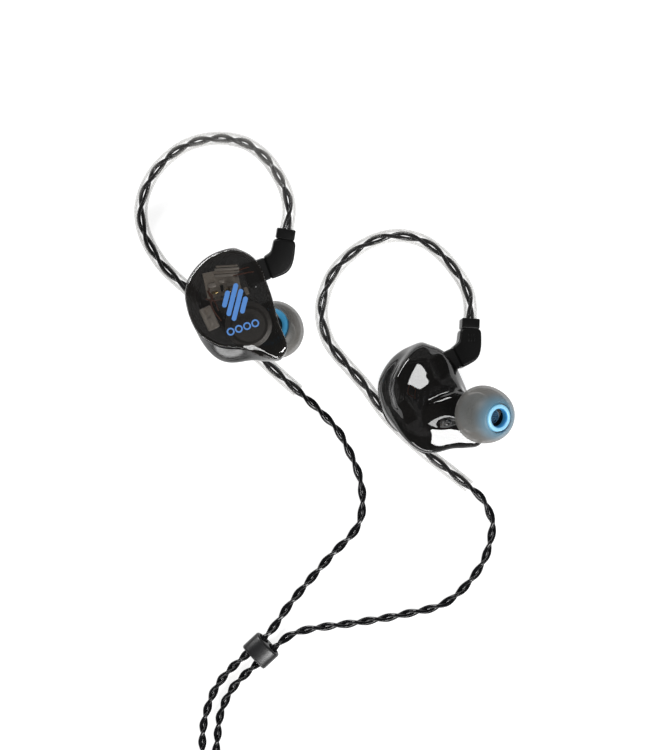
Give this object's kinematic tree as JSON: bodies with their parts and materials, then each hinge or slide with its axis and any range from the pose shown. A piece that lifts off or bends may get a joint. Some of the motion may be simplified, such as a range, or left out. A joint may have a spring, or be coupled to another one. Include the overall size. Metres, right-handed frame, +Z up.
{
  "type": "in ear monitors",
  "caption": "In-ear monitors: smoky see-through earpieces with silicone tips, joined by two-pin plugs to a black twisted cable with clear ear hooks, chin slider and straight plug.",
  "frame": {"origin": "on the table, under the middle of the box round the two earpieces and their ear tips", "axes": "+Z up from the table, +Y the way the ear hooks loop, away from the plug, and +X from the left earpiece (faceplate up) to the right one (faceplate down)"},
  "size_m": [0.0876, 0.1868, 0.0309],
  "materials": {
    "smoky_plastic": "see-through smoky black resin, polished",
    "gloss_black": "moulded, glossy",
    "satin_black": "moulded, satin",
    "gloss_black_sleeve": "soft cable covering, glossy",
    "clear_tubing": "clear shrunk tubing",
    "grey_silicone": "thin silicone, half see-through",
    "blue_silicone": "silicone, satin",
    "dark_rubber": "moulded, matt",
    "driver_can": "pressed can",
    "steel_trim": "fine mesh and small rings",
    "gold_contact": "gold plated",
    "circuit_board": "board with solder"
  },
  "bodies": {
    "cable": {"left_cable": "gloss_black_sleeve", "left_ear_hook": "clear_tubing", "left_plug_housing": "satin_black", "left_plug_collar": "satin_black", "left_plug_pin_1": "gold_contact", "left_plug_pin_2": "gold_contact", "right_cable": "gloss_black_sleeve", "right_ear_hook": "clear_tubing", "right_plug_housing": "satin_black", "right_plug_collar": "satin_black", "right_plug_pin_1": "gold_contact", "right_plug_pin_2": "gold_contact", "cable_coil": "gloss_black_sleeve", "cable_tie": "dark_rubber", "y_split": "dark_rubber", "main_cable": "gloss_black_sleeve", "jack_strain_relief": "dark_rubber", "jack_barrel": "satin_black", "jack_sleeve": "gold_contact", "jack_ring": "gold_contact", "jack_tip": "gold_contact", "jack_insulator_1": "satin_black", "jack_insulator_2": "satin_black"},
    "left_earpiece": {"left_faceplate": "smoky_plastic", "left_shell": "smoky_plastic", "left_nozzle_mesh": "steel_trim", "left_vent_ring": "steel_trim", "left_socket": "gloss_black", "left_dynamic_driver": "driver_can", "left_armature_a": "driver_can", "left_armature_b": "driver_can", "left_armature_c": "driver_can", "left_crossover_board": "circuit_board", "left_sound_tube": "clear_tubing"},
    "right_earpiece": {"right_faceplate": "smoky_plastic", "right_shell": "smoky_plastic", "right_nozzle_mesh": "steel_trim", "right_vent_ring": "steel_trim", "right_socket": "gloss_black", "right_dynamic_driver": "driver_can", "right_armature_a": "driver_can", "right_armature_b": "driver_can", "right_armature_c": "driver_can", "right_crossover_board": "circuit_board", "right_sound_tube": "clear_tubing"},
    "left_ear_tip": {"left_tip_core": "blue_silicone", "left_tip_dome": "grey_silicone"},
    "right_ear_tip": {"right_tip_core": "blue_silicone", "right_tip_dome": "grey_silicone"},
    "chin_slider": {"chin_slider": "dark_rubber"}
  },
  "joints": [
    {"name": "left_unplug", "type": "slide", "parent": "cable", "child": "left_earpiece", "axis": [-0.9383, -0.3434, 0.0405], "range_m": [0, 0.005]},
    {"name": "right_unplug", "type": "slide", "parent": "cable", "child": "right_earpiece", "axis": [-0.8864, -0.4291, 0.1739], "range_m": [0, 0.005]},
    {"name": "left_tip_pull", "type": "slide", "parent": "left_earpiece", "child": "left_ear_tip", "axis": [0.3079, -0.1879, -0.9327], "range_m": [0, 0.0035]},
    {"name": "right_tip_pull", "type": "slide", "parent": "right_earpiece", "child": "right_ear_tip", "axis": [0.5184, -0.1166, 0.8472], "range_m": [0, 0.0072]},
    {"name": "chin_slide", "type": "slide", "parent": "cable", "child": "chin_slider", "axis": [-0.7314, -0.682, 0], "range_m": [0, 0.005]}
  ]
}
